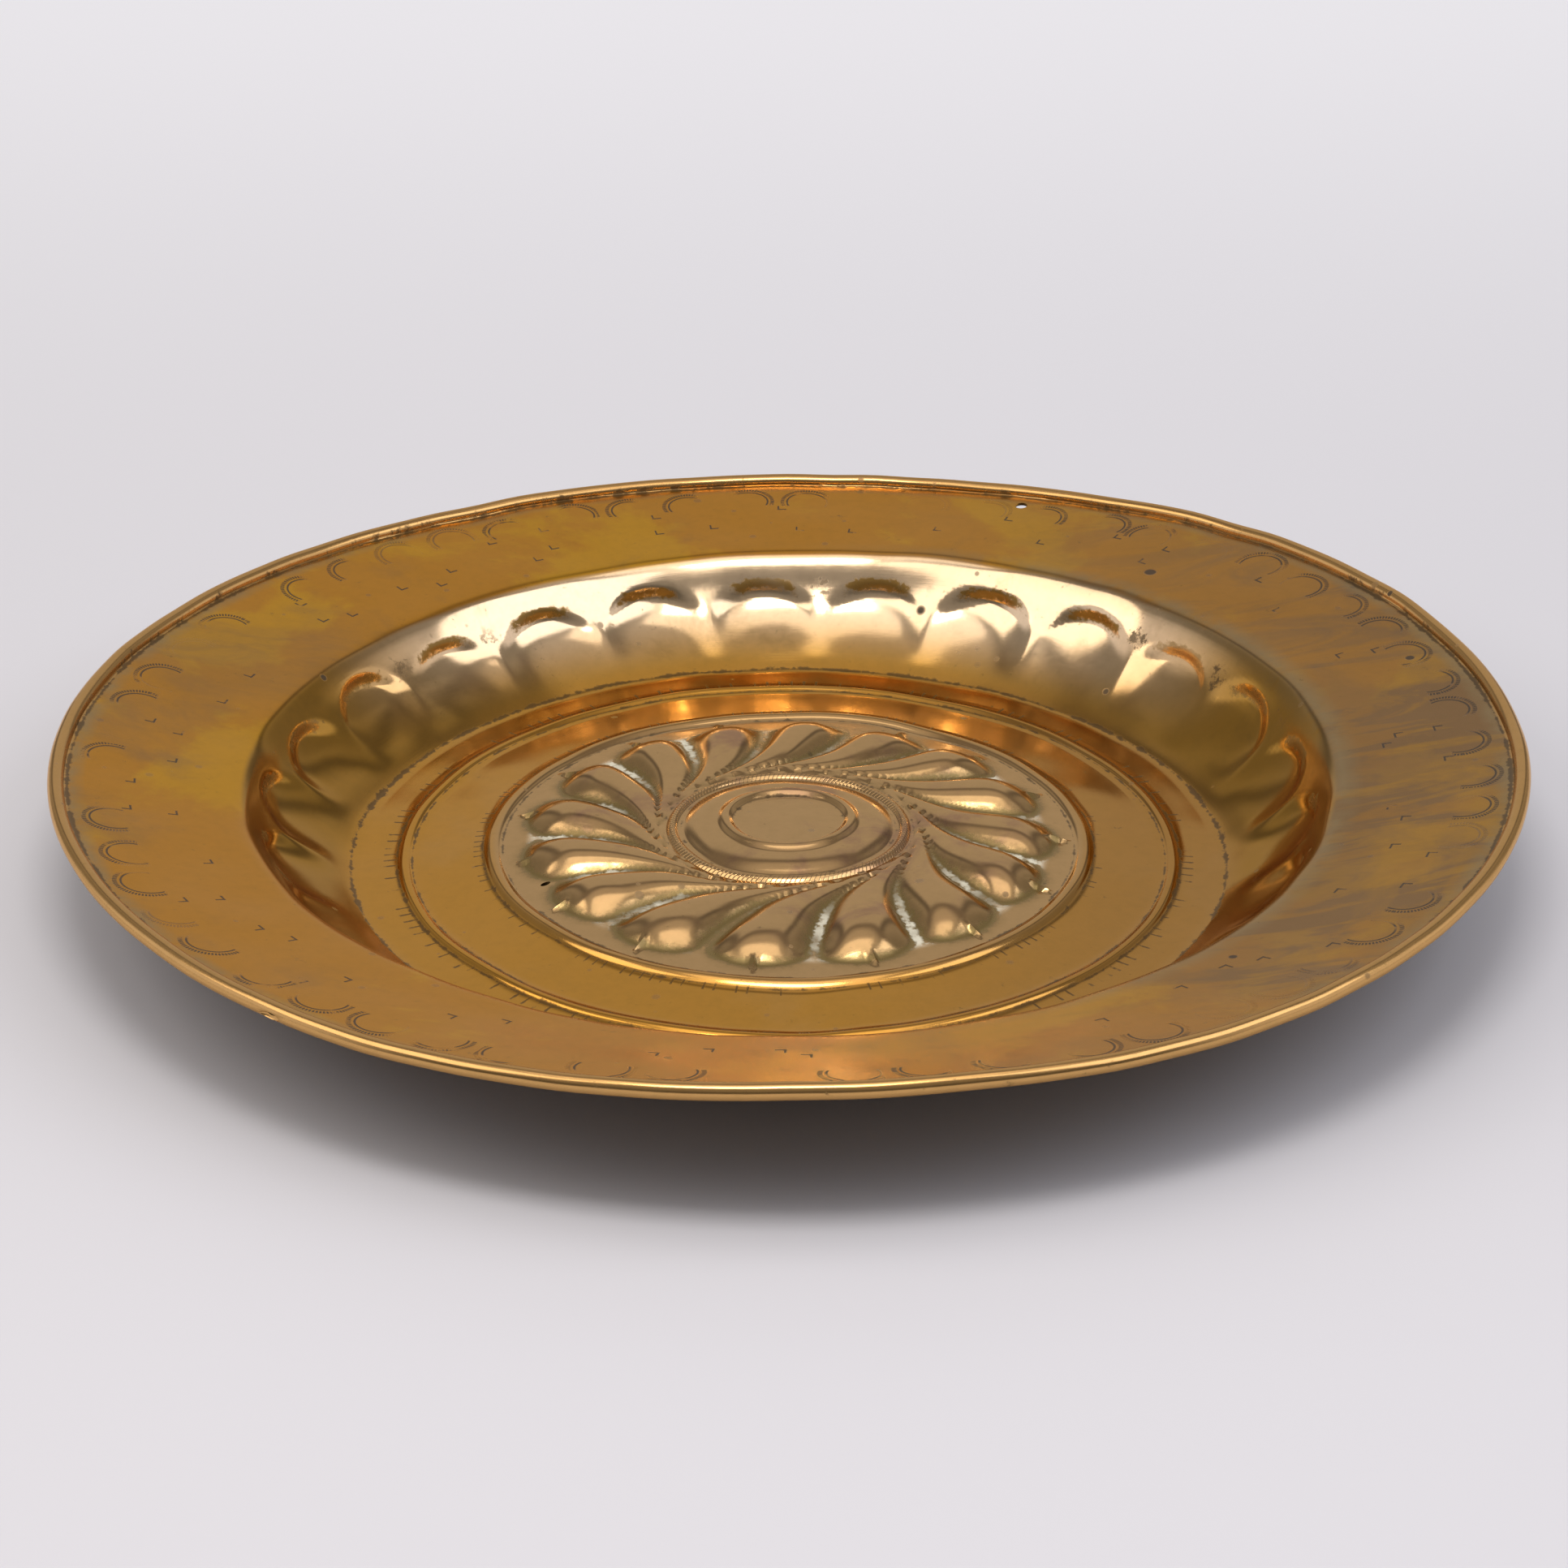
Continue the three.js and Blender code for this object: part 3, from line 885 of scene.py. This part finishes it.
    # dirt lines beside the rings, at the foot of the wall and inside the bead
    lines = None
    for centre, width, strength in brass["dirtLines"]:
        band = place(tree, groups["band"], Radius=radius, Centre=centre, Width=width).outputs[0]
        band = calc(tree, "MULTIPLY", band, strength)
        lines = band if lines is None else calc(tree, "MAXIMUM", lines, band)
    broken = calc(tree, "SUBTRACT", noise(tree, position, 130.0, 3.0, 0.6), 0.5)
    uneven = calc(tree, "ADD", calc(tree, "MULTIPLY", jitter, 1.6), calc(tree, "MULTIPLY", broken, 1.8))
    lines = ramp(tree, calc(tree, "ADD", lines, uneven), 0.42, 0.85)

    # short ragged tool marks that fan out beside the mouldings
    nickTurn = calc(tree, "MULTIPLY", degrees, 0.52)
    nickNumber = put(tree, "ShaderNodeTexWhiteNoise", noise_dimensions="1D")
    feed(tree, nickNumber.inputs["W"], calc(tree, "FLOOR", nickTurn))
    offset = calc(tree, "ABSOLUTE", calc(tree, "SUBTRACT", calc(tree, "FRACT", nickTurn), 0.5))
    nicks = ramp(tree, calc(tree, "ADD", offset, calc(tree, "MULTIPLY", jitter, 0.25)), 0.13, 0.06)
    nicks = calc(tree, "MULTIPLY", nicks, calc(tree, "LESS_THAN", nickNumber.outputs["Value"], 0.62))
    nicksInner = place(tree, groups["band"], Radius=radius, Centre=90.2, Width=1.9).outputs[0]
    nicksOuter = place(tree, groups["band"], Radius=radius, Centre=115.6, Width=2.6).outputs[0]
    nickPlace = ramp(tree, calc(tree, "MAXIMUM", nicksInner, nicksOuter), 0.05, 0.3)
    nicks = calc(tree, "MULTIPLY", nicks, calc(tree, "MULTIPLY", nickPlace, ramp(tree, haze, 0.42, 0.5)))

    patches = noise(tree, position, 24.0, 2.0, 0.5)
    # a dark brown band under each scoop's lip, in patches
    underLipDark = calc(tree, "ADD", attribute(tree, "arch"), calc(tree, "MULTIPLY", jitter, 1.9))
    underLipDark = calc(tree, "MULTIPLY", ramp(tree, underLipDark, 0.25, 0.8), ramp(tree, patches, 0.26, 0.46))
    spandrel = calc(tree, "ADD", attribute(tree, "spandrel"), calc(tree, "MULTIPLY", jitter, 3.4))
    spandrel = calc(tree, "MULTIPLY", ramp(tree, spandrel, 0.6, 1.1), ramp(tree, patches, 0.56, 0.44))
    specks = place(tree, groups["specks"], Position=position, Scale=165.0, Size=0.2, Share=0.10).outputs[0]
    pits = place(tree, groups["specks"], Position=position, Scale=70.0, Size=0.13, Share=0.09).outputs[0]
    pits = calc(tree, "MULTIPLY", pits, ramp(tree, radius, 118.0, 140.0))
    stampMask = place(tree, groups["stamps"], Position=position, Radius=radius, Degrees=degrees).outputs[0]
    tickTurn = calc(tree, "ADD", calc(tree, "MULTIPLY", degrees, sheet["cable"]["ticks"] / 360),
                    calc(tree, "MULTIPLY", radius, sheet["cable"]["slant"]))
    ticks = ramp(tree, calc(tree, "PINGPONG", tickTurn, 0.5), 0.17, 0.04)
    onCable = place(tree, groups["band"], Radius=radius, Centre=sheet["cable"]["radius"], Width=2.2)
    ticks = calc(tree, "MULTIPLY", ticks, ramp(tree, onCable.outputs[0], 0.1, 0.35))

    grime = calc(tree, "MAXIMUM", stain, calc(tree, "MAXIMUM", lines, spandrel))
    grime = calc(tree, "MAXIMUM", grime, calc(tree, "MAXIMUM", calc(tree, "MULTIPLY", ticks, 0.8), nicks))
    black = calc(tree, "MAXIMUM", pits, calc(tree, "MAXIMUM", stampMask, calc(tree, "MULTIPLY", specks, 0.5)))
    dulling = calc(tree, "MULTIPLY", calc(tree, "SUBTRACT", 1.0, ramp(tree, ragged, 1.0, 5.0)), 0.22)
    colour = blend(tree, dulling, colour, brass["olive"])
    mottle = ramp(tree, noise(tree, position, 260.0, 5.0, 0.7), 0.35, 0.75)
    colour = blend(tree, calc(tree, "MULTIPLY", mottle, 0.09), colour, brass["olive"])
    colour = blend(tree, underLipDark, colour, brass["archBrown"])
    dirt = blend(tree, calc(tree, "MULTIPLY", onRosette, stain), brass["brown"], brass["olive"])
    colour = blend(tree, calc(tree, "MULTIPLY", grime, 0.8), colour, dirt)
    crumbs = ramp(tree, noise(tree, position, 420.0, 3.0, 0.6), 0.45, 0.75)
    powder = blend(tree, crumbs, brass["residue"], brass["olive"])
    colour = blend(tree, calc(tree, "MULTIPLY", deposit, 0.92), colour, powder)
    colour = blend(tree, calc(tree, "MULTIPLY", black, 0.93), colour, brass["dark"])
    feed(tree, shader.inputs["Base Color"], colour)
    shader.inputs["Specular Tint"].default_value = brass["edgeTint"]

    notMetal = calc(tree, "MAXIMUM", deposit, black)
    notMetal = calc(tree, "MAXIMUM", notMetal, calc(tree, "MULTIPLY", grime, 0.4))
    notMetal = calc(tree, "MAXIMUM", notMetal, calc(tree, "MULTIPLY", underLipDark, 0.35))
    feed(tree, shader.inputs["Metallic"], calc(tree, "SUBTRACT", 1.0, notMetal))
    rough = calc(tree, "ADD", brass["roughness"], calc(tree, "MULTIPLY", haze, 0.12))
    rough = calc(tree, "ADD", rough, calc(tree, "MULTIPLY", onFlange, 0.07))
    rough = calc(tree, "ADD", rough, calc(tree, "MULTIPLY", underside, 0.25))
    rough = calc(tree, "ADD", rough, calc(tree, "MULTIPLY", notMetal, 0.4), clamp=True)
    feed(tree, shader.inputs["Roughness"], rough)

    # one height for everything too fine for the mesh
    height = calc(tree, "MULTIPLY", rubbing.outputs["Height"], 0.10)
    height = calc(tree, "SUBTRACT", height, calc(tree, "MULTIPLY", stampMask, 1.0))
    height = calc(tree, "SUBTRACT", height, calc(tree, "MULTIPLY", ticks, 0.8))
    height = calc(tree, "SUBTRACT", height, calc(tree, "MULTIPLY", pits, 0.8))
    height = calc(tree, "ADD", height, calc(tree, "MULTIPLY", deposit, calc(tree, "ADD", 0.5, jitter)))
    bump = put(tree, "ShaderNodeBump")
    bump.inputs["Strength"].default_value = 0.35
    bump.inputs["Distance"].default_value = 0.0003
    feed(tree, bump.inputs["Height"], height)
    feed(tree, shader.inputs["Normal"], bump.outputs[0])
    return material


iron = {"dark": (0.035, 0.028, 0.024, 1), "rust": (0.16, 0.06, 0.022, 1)}


def makeIron(groups):
    material = bpy.data.materials.new("rustyIron")
    material.use_nodes = True
    tree = material.node_tree
    shader = tree.nodes["Principled BSDF"]
    position = put(tree, "ShaderNodeTexCoord").outputs["Object"]
    rust = place(tree, groups["clouds"], Position=position, Scale=160.0, Cover=0.5, Softness=0.2).outputs[0]
    feed(tree, shader.inputs["Base Color"], blend(tree, rust, iron["dark"], iron["rust"]))
    feed(tree, shader.inputs["Metallic"], calc(tree, "SUBTRACT", 0.7, calc(tree, "MULTIPLY", rust, 0.6)))
    feed(tree, shader.inputs["Roughness"], calc(tree, "ADD", 0.55, calc(tree, "MULTIPLY", rust, 0.35)))
    bump = put(tree, "ShaderNodeBump")
    bump.inputs["Strength"].default_value = 0.5
    bump.inputs["Distance"].default_value = 0.0002
    feed(tree, bump.inputs["Height"], noise(tree, position, 900.0, 4.0, 0.6))
    feed(tree, shader.inputs["Normal"], bump.outputs[0])
    return material


# studio

studio = {
    "floorColour": (0.685, 0.68, 0.70, 1),
    "floorSize": 9.0,
    "paperSweep": (0.54, 0.53, 0.55, 1),  # pale paper that rises behind the dish
    "room": (0.29, 0.28, 0.28, 1),
    "sideRoom": (0.85, 0.84, 0.92, 1),
    "nearRoom": (0.13, 0.125, 0.12, 1),
    "ceiling": (0.58, 0.55, 0.55, 1),
    "gap": (0.24, 0.225, 0.235, 1),  # darker slot between the paper's top edge and the lit ceiling
    "sideGap": (0.09, 0.085, 0.095, 1),
    "backGlow": 0.6,  # the far paper has its own light
    "lights": {
        "left": {"from": (-0.95, -0.34, 1.05), "size": (1.1, 0.8), "power": 4.9, "colour": (1, 0.93, 0.89)},
        "right": {"from": (0.95, -0.34, 1.05), "size": (1.1, 0.8), "power": 5.1, "colour": (0.89, 0.90, 1)},
        "middle": {"from": (0, -0.28, 1.14), "size": (0.9, 0.8), "power": 2.1, "colour": (1, 0.95, 0.94)},
        "core": {"from": (-0.05, -0.46, 1.08), "size": (0.46, 0.26), "power": 3.9, "colour": (1, 0.97, 0.96)},
    },
    "camera": {"elevation": 25.88, "distance": 1.0837, "lens": 85.9, "aim": (-0.0013, 0, 0.0215)},
}


def makeStudio():
    bpy.ops.mesh.primitive_plane_add(size=studio["floorSize"])
    floor = bpy.context.object
    floor.name = "studioFloor"
    paper = bpy.data.materials.new("palePaper")
    paper.use_nodes = True
    shader = paper.node_tree.nodes["Principled BSDF"]
    shader.inputs["Base Color"].default_value = studio["floorColour"]
    shader.inputs["Roughness"].default_value = 0.9
    shader.inputs["Emission Color"].default_value = studio["floorColour"]
    parts = put(paper.node_tree, "ShaderNodeSeparateXYZ")
    feed(paper.node_tree, parts.inputs[0], put(paper.node_tree, "ShaderNodeTexCoord").outputs["Object"])
    far = ramp(paper.node_tree, parts.outputs[1], -0.1, 1.2)
    glow = calc(paper.node_tree, "MULTIPLY", far, studio["backGlow"])
    feed(paper.node_tree, shader.inputs["Emission Strength"], glow)
    floor.data.materials.append(paper)

    world = bpy.data.worlds.new("studioWorld")
    bpy.context.scene.world = world
    world.use_nodes = True
    tree = world.node_tree
    heading = put(tree, "ShaderNodeSeparateXYZ")
    feed(tree, heading.inputs[0], put(tree, "ShaderNodeTexCoord").outputs["Generated"])
    side, toBack, up = calc(tree, "ABSOLUTE", heading.outputs[0]), heading.outputs[1], heading.outputs[2]
    near = calc(tree, "MULTIPLY", ramp(tree, toBack, -0.2, -0.7), ramp(tree, up, 0.6, 0.2))
    paper = calc(tree, "MULTIPLY", ramp(tree, toBack, 0.2, 0.6), ramp(tree, side, 0.68, 0.4))
    gap = calc(tree, "MULTIPLY", ramp(tree, toBack, 0.15, 0.3), ramp(tree, up, 0.72, 0.81))
    sky = blend(tree, ramp(tree, side, 0.78, 0.92), studio["room"], studio["sideRoom"])
    sky = blend(tree, near, sky, studio["nearRoom"])
    sky = blend(tree, paper, sky, studio["paperSweep"])
    beside = calc(tree, "MULTIPLY", ramp(tree, side, 0.34, 0.44), ramp(tree, side, 0.56, 0.46))
    beside = calc(tree, "MULTIPLY", calc(tree, "MULTIPLY", beside, ramp(tree, toBack, 0.3, 0.5)), 0.8)
    sky = blend(tree, beside, sky, studio["sideGap"])
    sky = blend(tree, gap, sky, studio["gap"])
    sky = blend(tree, ramp(tree, up, 0.83, 0.93), sky, studio["ceiling"])
    feed(tree, tree.nodes["Background"].inputs["Color"], sky)
    for name, values in studio["lights"].items():
        lamp = bpy.data.lights.new(name, "AREA")
        lamp.shape = "RECTANGLE"
        lamp.size, lamp.size_y = values["size"]
        lamp.energy, lamp.color = values["power"], values["colour"]
        box = bpy.data.objects.new(name, lamp)
        box.location = values["from"]
        box.rotation_euler = (-Vector(values["from"])).to_track_quat("-Z", "Y").to_euler()
        bpy.context.scene.collection.objects.link(box)


def makeCamera():
    view = studio["camera"]
    lens = bpy.data.cameras.new("studioCamera")
    lens.lens, lens.sensor_width = view["lens"], 36
    camera = bpy.data.objects.new("studioCamera", lens)
    e = math.radians(view["elevation"])
    back = Vector((0, -math.cos(e), math.sin(e)))
    camera.location = Vector(view["aim"]) + back * view["distance"]
    camera.rotation_euler = (math.radians(90 - view["elevation"]), 0, 0)
    bpy.context.scene.collection.objects.link(camera)
    bpy.context.scene.camera = camera
    bpy.context.scene.view_settings.view_transform = "Standard"


# put it together

groups = {
    "polar": makePolar(), "clouds": makeClouds(), "band": makeRingBand(),
    "specks": makeSpecks(), "rubbing": makeRubbing(), "stamps": makeStamps(),
}
dish = makeDish()
dish.data.materials.clear()
dish.data.materials.append(makeBrass(groups))
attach(dish, "root")
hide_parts("dish_sheet")
print("dish done")

core = makeWire()
core.data.materials.append(makeIron(groups))
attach(core, "root")
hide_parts("rim_wire")
print("wire done")

makeStudio()
makeCamera()
print("studio and camera done")
